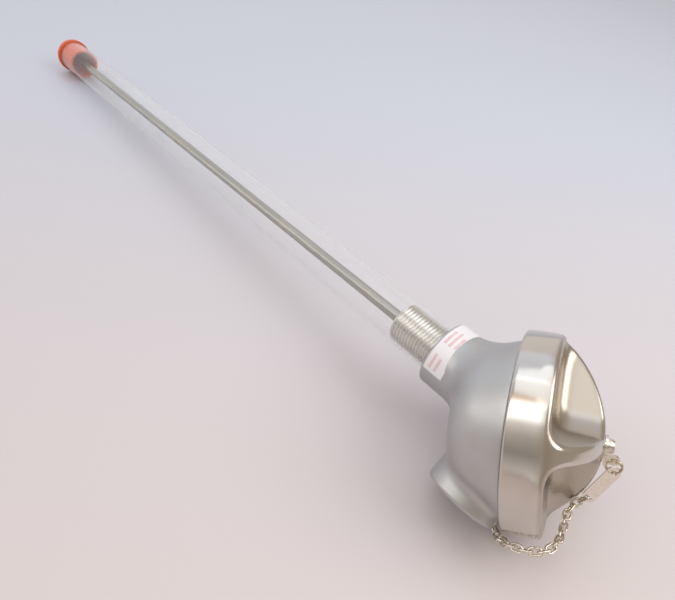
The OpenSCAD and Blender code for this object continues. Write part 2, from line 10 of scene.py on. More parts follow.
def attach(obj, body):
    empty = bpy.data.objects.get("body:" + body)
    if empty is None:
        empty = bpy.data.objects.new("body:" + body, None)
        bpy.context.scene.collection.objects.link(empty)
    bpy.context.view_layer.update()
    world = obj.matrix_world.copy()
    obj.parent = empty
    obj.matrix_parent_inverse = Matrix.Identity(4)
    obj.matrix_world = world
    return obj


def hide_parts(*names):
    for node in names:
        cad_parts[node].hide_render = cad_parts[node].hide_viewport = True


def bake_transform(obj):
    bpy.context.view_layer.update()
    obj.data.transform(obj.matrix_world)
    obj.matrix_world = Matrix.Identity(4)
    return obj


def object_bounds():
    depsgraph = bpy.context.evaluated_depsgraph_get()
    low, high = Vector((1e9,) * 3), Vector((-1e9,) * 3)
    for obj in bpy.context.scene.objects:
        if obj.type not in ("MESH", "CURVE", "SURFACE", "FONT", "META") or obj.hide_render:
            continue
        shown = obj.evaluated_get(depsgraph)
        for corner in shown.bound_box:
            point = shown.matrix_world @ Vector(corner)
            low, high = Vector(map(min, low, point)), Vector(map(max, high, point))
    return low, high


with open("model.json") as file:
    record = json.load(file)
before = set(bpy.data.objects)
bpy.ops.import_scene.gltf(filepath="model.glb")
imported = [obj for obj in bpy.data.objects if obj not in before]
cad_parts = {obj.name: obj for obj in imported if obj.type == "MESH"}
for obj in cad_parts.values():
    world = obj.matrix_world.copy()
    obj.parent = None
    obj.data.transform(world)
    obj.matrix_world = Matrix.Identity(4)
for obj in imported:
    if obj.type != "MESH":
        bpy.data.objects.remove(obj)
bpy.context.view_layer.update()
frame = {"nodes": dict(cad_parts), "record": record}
nodes = frame["nodes"]
joints = {j["name"]: j for j in frame["record"]["behaviour"]["joints"]}
mounts = {m["name"]: m for m in frame["record"]["mounts"]}
MM = 0.001

# Sizes of the head, in millimetres
BOWL_RADIUS, BOWL_FOOT, BOWL_DEPTH = 38.2, 29.2, 26
WALL = 4.5
HOLLOW_RADIUS, HOLLOW_FOOT, HOLLOW_DEPTH = BOWL_RADIUS - WALL, 26.26, BOWL_DEPTH - WALL
COLLAR_ROOT, COLLAR_TOP = 37.0, 8.5
NECK_RADIUS, NECK_BORE, NECK_BORE_TOP, NECK_TOP = 16.5, 10.58, 17.5, 40
PEDESTAL_TOP, SHEATH_HOLE, SHEATH_BORE = 30, 3.3, 3.1
ENTRY_PLACE, ENTRY_RADIUS, ENTRY_REACH, ENTRY_BORE = 48, 16.8, 45.5, 10.4
ENTRY_ROOT, ENTRY_BORE_ROOT, SLEEVE_ROOT = 20, 27, 28
BASE_SCREW_SPREAD, BASE_SCREW_HOLE, BASE_SCREW_FLOOR = 11.5, 2.0, 21

# Sizes of the screw cap and its grip
CAP_RADIUS, CAP_CREST, CAP_ROOT, CAP_BORE_TOP = 43, 34.2, 39.75, 11.5
DOME_RADIUS, DOME_DROP = 60, 25.5
LEDGE, LEDGE_FLAT, LEDGE_RISE = 14.3, 24, 1 / 190
RIB_TURNS = [math.radians(turn) for turn in (-75, 45, 165)]
RIB_HALF, RIB_DRAFT = 3.3, 0.05

# Sizes of the swivel, the chain and the anchor screw
SWIVEL_TURN = math.radians(38)
EAR = np.array([6.4, 38.3])
RING_RADIUS, RING_WIRE, RING_LEAN = 3.0, 0.46, math.radians(5)
STRAP_SPAN, STRAP_LEAN = 17, math.radians(-28)
LINK_LENGTH, LINK_WIDTH, LINK_WIRE = 4.1, 1.9, 1.0
END_LENGTH, END_WIDTH = 7.6, 3.6
ANCHOR_ANGLE, ANCHOR_REACH, ANCHOR_DOWN = math.radians(50), ENTRY_RADIUS + 0.75, 42
ANCHOR_SHANK = 1.5
FIT_GAP = 0.1


# Frames of the part's own axes

class Axes:
    """A right-handed set of axes: turns millimetres along them into places in metres, and back."""

    def __init__(self, origin, x, y):
        x, y = Vector(x).normalized(), Vector(y).normalized()
        z = x.cross(y).normalized()
        self.turn = Matrix((x, y, z)).transposed()
        self.origin = Vector(origin)
        self.array = np.array(self.turn)

    def out(self, points):
        return np.asarray(points, float) @ self.array.T * MM + np.array(self.origin)

    def back(self, places):
        return (np.asarray(places, float) - np.array(self.origin)) @ self.array / MM

    def at(self, *point):
        return Vector(self.out(point))


probe_way = -Vector(joints["guard_pull"]["axis"])
entry_way = Vector(mounts["cable_entry"]["axis"])
side_way = (-entry_way).cross(probe_way)
cap_way = Vector(joints["cap_turn"]["axis"])
HEAD = Axes((0, 0, 0), probe_way, side_way)
CAP = Axes(joints["cap_turn"]["pos_m"], side_way.cross(cap_way), side_way)
PROBE = Axes((0, 0, 0), entry_way, side_way)
ENTRY = Axes(HEAD.at(ENTRY_PLACE, 0, 0), probe_way, -side_way)
swivel_side = np.array([-math.sin(SWIVEL_TURN), math.cos(SWIVEL_TURN), 0])
SWIVEL = Axes(CAP.origin, CAP.turn @ Vector((swivel_side[1], -swivel_side[0], 0)),
              CAP.turn @ Vector(swivel_side))


# Materials

class Value:
    """A socket of a material that Python's operators work on."""

    def __init__(self, paint, socket):
        self.paint, self.socket = paint, socket

    def math(self, operation, *others):
        return self.paint.node("ShaderNodeMath", {"operation": operation}, self, *others)

    def __add__(self, other):
        return self.math("ADD", other)

    def __sub__(self, other):
        return self.math("SUBTRACT", other)

    def __rsub__(self, other):
        return self.paint.node("ShaderNodeMath", {"operation": "SUBTRACT"}, other, self)

    def __mul__(self, other):
        return self.math("MULTIPLY", other)

    def __truediv__(self, other):
        return self.math("DIVIDE", other)

    def __pow__(self, other):
        return self.math("POWER", other)

    def __gt__(self, other):
        return self.math("GREATER_THAN", other)

    def __lt__(self, other):
        return self.math("LESS_THAN", other)

    __radd__ = __add__
    __rmul__ = __mul__


class Paint:
    """One material, built node by node."""

    def __init__(self, name):
        self.material = bpy.data.materials.new(name)
        self.material.use_nodes = True
        self.tree = self.material.node_tree
        self.tree.nodes.clear()

    def node(self, kind, settings=None, *values, out=0, **named):
        node = self.tree.nodes.new(kind)
        for key, value in (settings or {}).items():
            if key == "stops":
                ramp = node.color_ramp.elements
                ramp[0].position, ramp[1].position = value[0][0], value[-1][0]
                ramp[0].color, ramp[1].color = (*value[0][1], 1), (*value[-1][1], 1)
                for place, colour in value[1:-1]:
                    ramp.new(place).color = (*colour, 1)
            else:
                setattr(node, key, value)
        sockets = [*zip(node.inputs, values)]
        sockets += [(node.inputs[key.replace("_", " ")], value) for key, value in named.items()]
        for socket, value in sockets:
            if isinstance(value, Value):
                self.tree.links.new(value.socket, socket)
            elif value is not None:
                if socket.type == "RGBA" and len(value) == 3:
                    value = (*value, 1)
                socket.default_value = value
        return Value(self, node.outputs[out])

    def millimetres(self, axes):
        """Object coordinates as millimetres along the given axes."""
        back = axes.turn.transposed()
        return self.node("ShaderNodeMapping", {}, self.node("ShaderNodeTexCoord", out=3),
                         Location=-(back @ axes.origin) / MM, Rotation=back.to_euler(),
                         Scale=(1 / MM,) * 3)

    def split(self, vector):
        first = self.node("ShaderNodeSeparateXYZ", {}, vector)
        return [Value(self, socket) for socket in first.socket.node.outputs]

    def join(self, x, y, z):
        return self.node("ShaderNodeCombineXYZ", {}, x, y, z)

    def noise(self, vector, scale, detail=3.0, rough=0.5):
        return self.node("ShaderNodeTexNoise", {}, Vector=vector, Scale=scale, Detail=detail,
                         Roughness=rough)

    def ramp(self, value, low, high):
        """0 below low and 1 above high."""
        return self.node("ShaderNodeMapRange", {}, value, low, high, 0.0, 1.0)

    def mix(self, share, first, second):
        return self.node("ShaderNodeMix", {"data_type": "RGBA"}, share, *[None] * 5, first, second,
                         out=2)

    def shade(self, bump=None, depth=0.0001, strength=0.5, **sockets):
        if bump is not None:
            sockets["Normal"] = self.node("ShaderNodeBump", {}, Strength=strength, Distance=depth,
                                          Height=bump)
        surface = self.node("ShaderNodeBsdfPrincipled", {}, **sockets)
        output = self.tree.nodes.new("ShaderNodeOutputMaterial")
        self.tree.links.new(surface.socket, output.inputs["Surface"])
        return self.material


def shaded(tone, *shares):
    """The tone with its red, green and blue each taken down to a share."""
    return tuple(part * share for part, share in zip(tone, shares))


def turned_steel(name, axes, tone, rough, line=5.0, depth=0.00002, stain=0.10, blotch=0.06,
                 recess_shade_and_rough=None):
    """Stainless steel with fine turning lines round the Z of its axes; where the mask is 1 it is
    rougher, and darker with painted shade.
    """
    paint = Paint(name)
    place = paint.millimetres(axes)
    x, y, z = paint.split(place)
    radius = (x * x + y * y) ** 0.5
    slow = paint.noise(place, blotch, 4)
    drift = paint.noise(place, 0.12, 2) * 1.5
    lines = paint.noise(paint.join(radius * line + drift, z * line, drift), 1.0, 2, 0.6)
    grime = paint.ramp(slow, 0.45, 0.75)
    colour = paint.mix(grime * stain * 4, tone, shaded(tone, 0.80, 0.74, 0.66))
    colour = paint.mix(lines * 0.16, colour, shaded(tone, 0.72, 0.72, 0.72))
    roughness = lines * 0.10 + slow * 0.10 + (rough - 0.10)
    if recess_shade_and_rough:
        # Painted shade: the masked ledges and rib sides are darkened and warmed to stand for the
        # dark reflections they show. They are also made rougher.
        shade_and_rough_share = recess_shade_and_rough(paint, radius, z)
        colour = paint.mix(shade_and_rough_share, colour, shaded(tone, 0.76, 0.72, 0.67))
        roughness = roughness + shade_and_rough_share * 0.14
    return paint.shade(bump=lines, depth=depth, strength=0.6, Base_Color=colour, Metallic=1.0,
                       Roughness=roughness)


def below_dome(paint, radius, z):
    """1 on the cap's ledges and the sides of its ribs, which lie inside the dome, else 0; there the
    cap gets painted shade and more roughness.
    """
    reach = (radius * radius + (z + DOME_DROP) ** 2.0) ** 0.5
    above_band = paint.ramp(z, LEDGE - 0.7, LEDGE + 0.7)
    return above_band * (1 - paint.ramp(reach, DOME_RADIUS - 1.3, DOME_RADIUS - 0.4))


def blasted_steel(name, tone, rough):
    """Cast stainless steel, blasted and lightly polished, with faint flow marks."""
    paint = Paint(name)
    place = paint.millimetres(HEAD)
    grain = paint.noise(place, 2.2, 3, 0.6)
    flow = paint.noise(place, 0.05, 5, 0.55)
    handled = paint.ramp(paint.noise(place, 0.11, 3), 0.5, 0.8)
    colour = paint.mix(flow, shaded(tone, 0.86, 0.86, 0.86), tone)
    colour = paint.mix(handled * 0.25, colour, shaded(tone, 0.88, 0.83, 0.76))
    return paint.shade(bump=grain + flow * 2, depth=0.00005, strength=0.5, Base_Color=colour,
                       Metallic=1.0, Roughness=grain * 0.12 + handled * 0.08 + (rough - 0.1))


def plated(name, tone, tarnish, rough=0.22):
    """Bright plating that has yellowed a little in random patches."""
    paint = Paint(name)
    place = paint.millimetres(HEAD)
    spots = paint.noise(place, 0.9, 4, 0.6)
    colour = paint.mix(paint.ramp(spots, 0.42, 0.66), tone, tarnish)
    return paint.shade(bump=paint.noise(place, 4.0, 2), depth=0.00003, strength=0.4,
                       Base_Color=colour, Metallic=1.0, Roughness=spots * 0.2 + (rough - 0.08))


def drawn_tube(name, tone):
    """Drawn sheath tube, with streaks along it and a matt, slightly browned skin."""
    paint = Paint(name)
    place = paint.millimetres(PROBE)
    x, y, z = paint.split(place)
    streak = paint.noise(paint.join(x * 4, y * 4, z * 0.06), 1.0, 4, 0.6)
    patch = paint.noise(place, 0.035, 3)
    colour = paint.mix(streak, shaded(tone, 0.7, 0.7, 0.7), tone)
    colour = paint.mix(paint.ramp(patch, 0.45, 0.7) * 0.5, colour, shaded(tone, 1.0, 0.88, 0.72))
    return paint.shade(bump=streak, depth=0.00003, Base_Color=colour, Metallic=1.0,
                       Roughness=streak * 0.16 + 0.26)


def moulded(name, tone, rough, deep=0.8, grain=1.2, **sockets):
    """Plastic, rubber, resin or glaze: an even colour with faint mottling."""
    paint = Paint(name)
    place = paint.millimetres(HEAD)
    mottle = paint.noise(place, grain, 3)
    colour = paint.mix(mottle, shaded(tone, deep, deep, deep), tone)
    return paint.shade(bump=mottle, depth=0.00004, strength=0.3, Base_Color=colour,
                       Roughness=mottle * 0.1 + (rough - 0.05), **sockets)


def clear_film(name):
    """Clear thin-walled plastic that shows most where it turns away."""
    paint = Paint(name)
    place = paint.millimetres(PROBE)
    x, y, z = paint.split(place)
    rub = paint.noise(paint.join(x * 0.3, y * 0.3, z * 0.02), 1.0, 3, 0.5)
    turned_away = paint.node("ShaderNodeLayerWeight", {}, Blend=0.4, out=1)
    alpha = turned_away ** 4.0 * 0.75 + paint.ramp(rub, 0.5, 0.8) * 0.05 + 0.05
    return paint.shade(bump=rub, depth=0.0001, strength=0.1, Base_Color=(0.88, 0.91, 0.94),
                       Roughness=rub * 0.12 + 0.04, Alpha=alpha, IOR=1.45)


# Each row of marks: its ends along the neck, its middle round the neck and half its width
LABEL_RADIUS = 16.9
LABEL_ROWS = [(2.6, 4.0, -34.6, 4.6), (5.2, 6.6, -34.8, 5.0), (8.0, 9.4, -34.2, 3.6),
              (3.4, 4.8, -20.5, 3.6), (6.4, 7.8, -19.8, 3.2)]


def printed_label(name):
    """White film label with rows of short red bars, which say nothing."""
    paint = Paint(name)
    place = paint.millimetres(PROBE)
    x, y, z = paint.split(place)
    around = paint.node("ShaderNodeMath", {"operation": "ARCTAN2"}, y, x) * LABEL_RADIUS
    ragged = paint.noise(place, 1.6, 2) * 0.5
    marks = None
    for low, high, middle, half in LABEL_ROWS:
        inside = (z > low) * (z < high)
        reach = (around - middle).math("ABSOLUTE") < half
        bars = (around * 0.9 + ragged).math("FRACT") > 0.42
        row = inside * reach * bars
        marks = row if marks is None else marks.math("MAXIMUM", row)
    worn = paint.ramp(paint.noise(place, 2.5, 3), 0.3, 0.6)
    colour = paint.mix(marks * worn * 0.9, (0.84, 0.82, 0.86), (0.62, 0.05, 0.05))
    crease = paint.noise(paint.join(around * 0.3, z * 0.3, 0.0), 1.0, 3)
    return paint.shade(bump=crease, depth=0.0004, strength=0.4, Base_Color=colour,
                       Roughness=0.35, Coat_Weight=0.3)


TURNED = (0.56, 0.55, 0.52)
BRASS, DULL_BRASS = (0.74, 0.55, 0.24), (0.50, 0.34, 0.13)
NICKEL = (0.72, 0.69, 0.63)
materials = {
    "head_body": blasted_steel("blasted casting", (0.55, 0.55, 0.55), 0.48),
    # The cap's ledges and rib sides get painted shade and more roughness.
    "cap": turned_steel("turned cap", CAP, (0.62, 0.59, 0.55), 0.15, 4.0, 0.00001,
                        recess_shade_and_rough=below_dome),
    "cap_gasket": moulded("black rubber", (0.02, 0.02, 0.02), 0.55),
    "chain_screw": plated("screw plating", NICKEL, (0.55, 0.46, 0.32)),
    "swivel_eye": plated("swivel plating", NICKEL, (0.58, 0.49, 0.34)),
    "split_ring": plated("ring plating", (0.66, 0.58, 0.46), (0.44, 0.35, 0.22)),
    "chain_strap": plated("strap plating", (0.84, 0.80, 0.74), (0.76, 0.70, 0.60), 0.2),
    "chain": plated("chain plating", (0.86, 0.81, 0.73), (0.56, 0.48, 0.37), 0.18),
    "anchor_screw": plated("anchor plating", NICKEL, (0.50, 0.42, 0.30)),
    "process_nipple": turned_steel("turned thread", PROBE, (0.78, 0.77, 0.73), 0.2, 3.0),
    "probe_sheath": drawn_tube("drawn sheath", (0.42, 0.41, 0.38)),
    "sheath_filler": moulded("packed powder", (0.78, 0.75, 0.66), 0.9),
    "rtd_element": moulded("fired element", (0.86, 0.84, 0.78), 0.5),
    "seal_bead": moulded("sealing resin", (0.03, 0.04, 0.06), 0.3),
    "lead_wires": plated("bare copper", (0.80, 0.42, 0.22), (0.52, 0.24, 0.12), 0.3),
    "wire_sleeves": moulded("wire insulation", (0.60, 0.06, 0.04), 0.4),
    "mounting_plate": turned_steel("stamped plate", PROBE, (0.55, 0.54, 0.51), 0.35, 2.0),
    "terminal_base": moulded("glazed ceramic", (0.82, 0.80, 0.72), 0.16, 0.94, 0.6,
                             Coat_Weight=0.5),
    "terminal_clamps": plated("terminal brass", BRASS, DULL_BRASS, 0.3),
    "terminal_screws": plated("terminal plating", NICKEL, (0.56, 0.50, 0.38)),
    "base_screws": plated("base screw plating", NICKEL, (0.52, 0.46, 0.36)),
    "base_springs": plated("spring wire", (0.46, 0.45, 0.42), (0.30, 0.27, 0.22), 0.35),
    "earth_clamp": plated("earth brass", BRASS, DULL_BRASS, 0.3),
    "earth_screw": plated("earth plating", NICKEL, (0.52, 0.46, 0.36)),
    "neck_label": printed_label("printed label"),
    "guard_tube": clear_film("clear guard"),
    "guard_plug": moulded("orange plug", (0.74, 0.11, 0.02), 0.34, 0.85, 0.3,
                          Subsurface_Weight=0.1, Subsurface_Radius=(0.01, 0.004, 0.002),
                          Subsurface_Scale=0.3),
}


# Meshes

def put(name, data):
    """A new object in the scene, at the origin."""
    thing = bpy.data.objects.new(name, data)
    bpy.context.collection.objects.link(thing)
    return thing


def finished(thing):
    """The mesh that an object's modifiers make, without the object."""
    seen = thing.evaluated_get(bpy.context.evaluated_depsgraph_get())
    mesh = bpy.data.meshes.new_from_object(seen)
    bpy.data.objects.remove(thing)
    return mesh


def smoothed(mesh):
    mesh.polygons.foreach_set("use_smooth", [True] * len(mesh.polygons))
    return mesh


def add_piece(name, mesh, body, node, hides=(), material=None):
    """Puts a finished mesh in the scene, on its body, with its node's finish."""
    piece = put(name, mesh)
    mesh.materials.clear()
    mesh.materials.append(material or materials[node])
    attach(piece, body)
    if hides:
        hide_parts(*hides)
    return piece


def mesh_of(points, faces):
    mesh = bpy.data.meshes.new("shape")
    mesh.from_pydata([tuple(p) for p in points], [], [tuple(f) for f in faces])
    work = bmesh.new()
    work.from_mesh(mesh)
    bmesh.ops.remove_doubles(work, verts=work.verts, dist=1e-7)
    bmesh.ops.recalc_face_normals(work, faces=work.faces)
    work.to_mesh(mesh)
    work.free()
    return smoothed(mesh)


def circle(radius, height, columns):
    """Points round a circle at a height, as rows of x, y and z."""
    turn = np.linspace(0, 2 * np.pi, columns, endpoint=False)
    return np.stack([radius * np.cos(turn), radius * np.sin(turn), np.full(columns, height)], 1)


def loop_faces(rows, columns, looped):
    """Quads over a grid of rings that close on themselves. Looped rings form a closed tube."""
    last = rows if looped else rows - 1
    return [(i * columns + j, i * columns + (j + 1) % columns,
             (i + 1) % rows * columns + (j + 1) % columns, (i + 1) % rows * columns + j)
            for i in range(last) for j in range(columns)]


def capped_tube(path, radius, sides=10):
    """A round wire along a path, closed at both ends."""
    path = np.asarray(path, float)
    way = np.gradient(path, axis=0)
    way /= np.linalg.norm(way, axis=1)[:, None]
    side = np.cross(way[0], (0.3, 0.9, 0.2))
    rings = []
    for point, along in zip(path, way):
        side = side - along * (side @ along)
        side /= np.linalg.norm(side)
        other = np.cross(along, side)
        turn = np.linspace(0, 2 * np.pi, sides, endpoint=False)[:, None]
        rings.append(point + radius * (np.cos(turn) * side + np.sin(turn) * other))
    faces = loop_faces(len(path), sides, False)
    faces += [tuple(range(sides)), tuple((len(path) - 1) * sides + k for k in range(sides))]
    return np.concatenate(rings), faces


RINGS_PER_THREAD = 12
THREAD_FLANK = 0.8
THREAD_START = 0.15


def threaded_tube(axes, core, crest, pitch, start, end, plain, chamfer, columns=72):
    """A tube with a thread on one face, from core to crest radius, and a plain face."""
    heights = np.arange(start, end + 1e-6, pitch / RINGS_PER_THREAD)
    heights[-1] = end
    turn = np.linspace(0, 2 * np.pi, columns, endpoint=False)
    rings = []
    for z in heights:
        wave = (0.5 - 0.5 * np.cos(2 * np.pi * z / pitch - turn)) ** THREAD_FLANK
        fade = min(1, (z - start) / chamfer + THREAD_START, (end - z) / chamfer + THREAD_START)
        rings.append(circle(core + (crest - core) * wave * fade, z, columns))
    rings += [circle(plain, z, columns) for z in (end, start)]
    return mesh_of(axes.out(np.concatenate(rings)), loop_faces(len(rings), columns, True))


# The head's casting: its node's solid is remeshed evenly, and each point is then moved
# onto a field of distances whose edges and inner corners are softly rounded. The last
# number of each soft_max or soft_min is how wide its rounding is.

def soft_max(first, second, blend):
    near = np.maximum(blend - np.abs(first - second), 0) / blend
    return np.maximum(first, second) + near * near * blend / 4


def soft_min(first, second, blend):
    return -soft_max(-first, -second, blend)


def column(x, y, radius):
    return np.hypot(x, y) - radius


def cast(name, field, cell=0.8, steps=8, slope=0.02, longest_step=0.5):
    """A node's solid as an even skin with cells this wide, settled on a field of millimetres."""
    solid = nodes[name].data.copy()
    work = bmesh.new()
    work.from_mesh(solid)
    bmesh.ops.remove_doubles(work, verts=work.verts, dist=1e-6)
    work.to_mesh(solid)
    work.free()
    blank = put("blank", solid)
    remesh = blank.modifiers.new("even", "REMESH")
    remesh.mode, remesh.voxel_size = "VOXEL", cell * MM
    shape = finished(blank)
    places = np.empty(len(shape.vertices) * 3)
    shape.vertices.foreach_get("co", places)
    places = places.reshape(-1, 3) / MM
    for _ in range(steps):
        rise = np.stack([(field(places + d) - field(places - d)) / (2 * slope)
                         for d in np.eye(3) * slope], 1)
        steepness = np.maximum((rise ** 2).sum(1), 0.2)
        step = -rise * (field(places) / steepness)[:, None]
        length = np.maximum(np.linalg.norm(step, axis=1), 1e-9)
        places += step * (np.minimum(length, longest_step) / length)[:, None]
    shape.vertices.foreach_set("co", (places * MM).ravel())
    return smoothed(shape)


def cone(radius, height, low, high):
    """Distance outside a straight taper between two points of radius and height."""
    (r0, z0), (r1, z1) = low, high
    return ((radius - r0) * (z1 - z0) - (height - z0) * (r1 - r0)) / math.hypot(r1 - r0, z1 - z0)


def head_field(places):
    """Bowl, neck and cable entry, hollowed out and bored."""
    hx, hy, hz = HEAD.back(places * MM).T
    cx, cy, cz = CAP.back(places * MM).T
    radius = np.hypot(cx, cy)
    taper = cone(radius, cz, (BOWL_FOOT, -BOWL_DEPTH), (BOWL_RADIUS, -1))
    bowl = soft_max(soft_max(-BOWL_DEPTH - cz, taper, 14.0), radius - BOWL_RADIUS, 1.5)
    collar = soft_max(soft_max(radius - COLLAR_ROOT, cz - COLLAR_TOP, 0.8), -1 - cz, 0.5)
    bowl = soft_min(soft_max(bowl, cz + 0.3, 0.8), collar, 0.8)
    stem = column(hy, hz, NECK_RADIUS)
    branch = column(hx - ENTRY_PLACE, hy, ENTRY_RADIUS)
    neck = soft_max(soft_max(stem, -hx, 1.4), hx - NECK_TOP, 0.5)
    boss = soft_max(soft_max(branch, -hz - ENTRY_REACH, 1.6), hz + ENTRY_ROOT, 0.5)
    outside = soft_min(soft_min(bowl, neck, 9.0), boss, 3.0)
    taper = cone(radius, cz, (HOLLOW_FOOT, -HOLLOW_DEPTH), (HOLLOW_RADIUS, -1))
    hollow = soft_max(soft_max(-HOLLOW_DEPTH - cz, taper, 4.0), radius - HOLLOW_RADIUS, 2.0)
    pedestal = soft_max(stem, hx - PEDESTAL_TOP, 0.8)
    sleeve = soft_max(branch, hz + SLEEVE_ROOT, 0.8)
    hollow = soft_max(soft_max(hollow, -pedestal, 1.6), -sleeve, 1.6)
    solid = soft_max(outside, -hollow, 0.8)
    bores = [soft_max(column(hy, hz, NECK_BORE), hx - NECK_BORE_TOP, 0.4),
             column(hy, hz, SHEATH_HOLE),
             soft_max(column(hx - ENTRY_PLACE, hy, ENTRY_BORE), hz + ENTRY_BORE_ROOT, 0.2)]
    bores += [soft_max(column(hy, hz + side * BASE_SCREW_SPREAD, BASE_SCREW_HOLE),
                       BASE_SCREW_FLOOR - hx, 0.3) for side in (-1, 1)]
    for bore in bores:
        solid = soft_max(solid, -bore, 0.7)
    return solid


def cap_outside(x, y, z):
    """Dome cut down to a ledge between three ribs of the grip, with a lip round the ledge."""
    radius = np.hypot(x, y)
    dome = np.hypot(radius, z + DOME_DROP) - DOME_RADIUS
    body = soft_max(soft_max(dome, radius - CAP_RADIUS, 4.7), -z, 1.4)
    ribs = None
    for rib_turn in RIB_TURNS:
        along = x * math.cos(rib_turn) + y * math.sin(rib_turn)
        across = y * math.cos(rib_turn) - x * math.sin(rib_turn)
        rib = np.hypot(np.minimum(along, 0), across) - RIB_HALF - (CAP_CREST - z) * RIB_DRAFT
        ribs = rib if ribs is None else soft_min(ribs, rib, 7.0)
    ledge = LEDGE + np.clip(radius - LEDGE_FLAT, 0, None) ** 2 * LEDGE_RISE
    scoop = soft_max(-ribs, ledge - z, 8.0)
    return soft_max(soft_max(body, -scoop, 2.4), z - CAP_CREST, 0.3)


def screw_cap_mesh(columns=420, halvings=26, hole_lean=4.2, shoulder_lean=30, rim_lean=101.2):
    """Skin of the cap: the swivel screw's hole, rays out from a point inside, then the bore."""
    lean = np.radians(np.concatenate([np.linspace(hole_lean, shoulder_lean, 60),
                                      np.linspace(shoulder_lean, rim_lean, 120)[1:]]))
    turn = np.linspace(0, 2 * np.pi, columns, endpoint=False)
    lean, turn = (grid.ravel() for grid in np.meshgrid(lean, turn, indexing="ij"))
    ray = np.stack([np.sin(lean) * np.cos(turn), np.sin(lean) * np.sin(turn), np.cos(lean)], 1)
    middle = np.array([0, 0, 8.0])
    near, far = np.zeros(len(ray)), np.full(len(ray), 60.0)
    for _ in range(halvings):
        half = (near + far) / 2
        inside = cap_outside(*(middle + ray * half[:, None]).T) < 0
        near, far = np.where(inside, half, near), np.where(inside, far, half)
    skin = middle + ray * near[:, None]
    hole = [(0.4, CAP_CREST - 10), (1.65, CAP_CREST - 10), (1.65, CAP_CREST - 0.1),
            (1.75, CAP_CREST)]
    bore = [(40.0, 0.15), (39.78, 0.6), (CAP_ROOT, 1.2), (CAP_ROOT, CAP_BORE_TOP - 0.4),
            (39.4, CAP_BORE_TOP), (20, CAP_BORE_TOP), (1, CAP_BORE_TOP)]
    points = np.concatenate([circle(*ring, columns) for ring in hole] + [skin]
                            + [circle(*ring, columns) for ring in bore])
    rows = len(points) // columns
    faces = loop_faces(rows, columns, False)
    faces += [tuple(range(columns)), tuple((rows - 1) * columns + k for k in range(columns))]
    return mesh_of(CAP.out(points), faces)


add_piece("head_casting", cast("head_body", head_field), "head", "head_body", ["head_body"])
add_piece("screw_cap", screw_cap_mesh(), "cap", "cap", ["cap"])

# Threads, each by core and crest radius, pitch, ends, radius of the plain face and chamfer
G_HALF_PITCH, M20_PITCH, CAP_PITCH = 1.814, 1.5, 2.0
add_piece("process_thread",
          threaded_tube(PROBE, 9.32, 10.45, G_HALF_PITCH, -26, 0.2, SHEATH_BORE, 1.3),
          "head", "process_nipple", ["process_nipple"])
add_piece("process_shank",
          threaded_tube(PROBE, 9.28, 9.30, 1.0, 0.0, 16.0, SHEATH_BORE, 1.0, 48),
          "head", "process_nipple")
add_piece("entry_thread",
          threaded_tube(ENTRY, 10.25, 9.35, M20_PITCH, 28.05, ENTRY_REACH - 0.3, 10.36, 1.2, 64),
          "head", "head_body", material=turned_steel("turned entry", ENTRY, TURNED, 0.28, 3.0))
add_piece("collar_thread",
          threaded_tube(CAP, 37.1, 38.2, CAP_PITCH, 0.2, COLLAR_TOP - 0.3, 36.8, 1.0, 160),
          "head", "head_body", material=turned_steel("turned collar", CAP, TURNED, 0.28, 3.0))
add_piece("cap_thread",
          threaded_tube(CAP, 39.6, 38.5, CAP_PITCH, 0.9, 10.6, 39.9, 1.0, 160), "cap", "cap")


# Chain with its ring, on the cap's axes

def aimed(angle):
    return np.array([math.cos(angle), math.sin(angle)])


def faced(point):
    """A point of the swivel's own plane, which stands on its side, on the cap's axes."""
    return CAP.back(SWIVEL.out([point[0], 0, point[1]]))


ring_middle = EAR + RING_RADIUS * aimed(RING_LEAN)
strap_foot = EAR + 2 * RING_RADIUS * aimed(RING_LEAN) + STRAP_SPAN * aimed(STRAP_LEAN)
anchor_out = np.append(aimed(ANCHOR_ANGLE), 0)
anchor = CAP.back(HEAD.out([ENTRY_PLACE, 0, -ANCHOR_DOWN] + ANCHOR_REACH * anchor_out))
anchor_way = CAP.array.T @ HEAD.array @ anchor_out
route = np.array([faced(strap_foot), faced(strap_foot + [3.4, -3.5]), [28, 18, 24.2],
                  [32.8, 14.2, 23], [38, 8, 22.4], [42.6, 1.4, 21.2], [46, -3.6, 17.2],
                  [47.3, -5, 11], [47.5, -2.6, 4.8], [47.2, 2.2, 0.2], [46.6, 7, -2.5], anchor])
runs = np.concatenate([[0], np.cumsum(np.linalg.norm(np.diff(route, axis=0), axis=1))])


def route_at(length):
    leg = max([k for k in range(len(route) - 1) if length >= runs[k]], default=0)
    share = (length - runs[leg]) / (runs[leg + 1] - runs[leg])
    return route[leg] + (route[leg + 1] - route[leg]) * share


def eased_at(length):
    return sum(route_at(length + d) for d in (-LINK_LENGTH / 2, 0, LINK_LENGTH / 2)) / 3


def link_turn(length, odd):
    """Axes of a link at a length along the route: along it, across it, and square to its plane."""
    along = eased_at(length + LINK_LENGTH / 4) - eased_at(length - LINK_LENGTH / 4)
    along /= np.linalg.norm(along)
    share = length / runs[-1]
    side = np.cross(np.cross(along, (1 - share) * swivel_side + share * anchor_way), along)
    side /= np.linalg.norm(side)
    square = side if odd else np.cross(along, side)
    return np.stack([along, np.cross(square, along), square], 1)


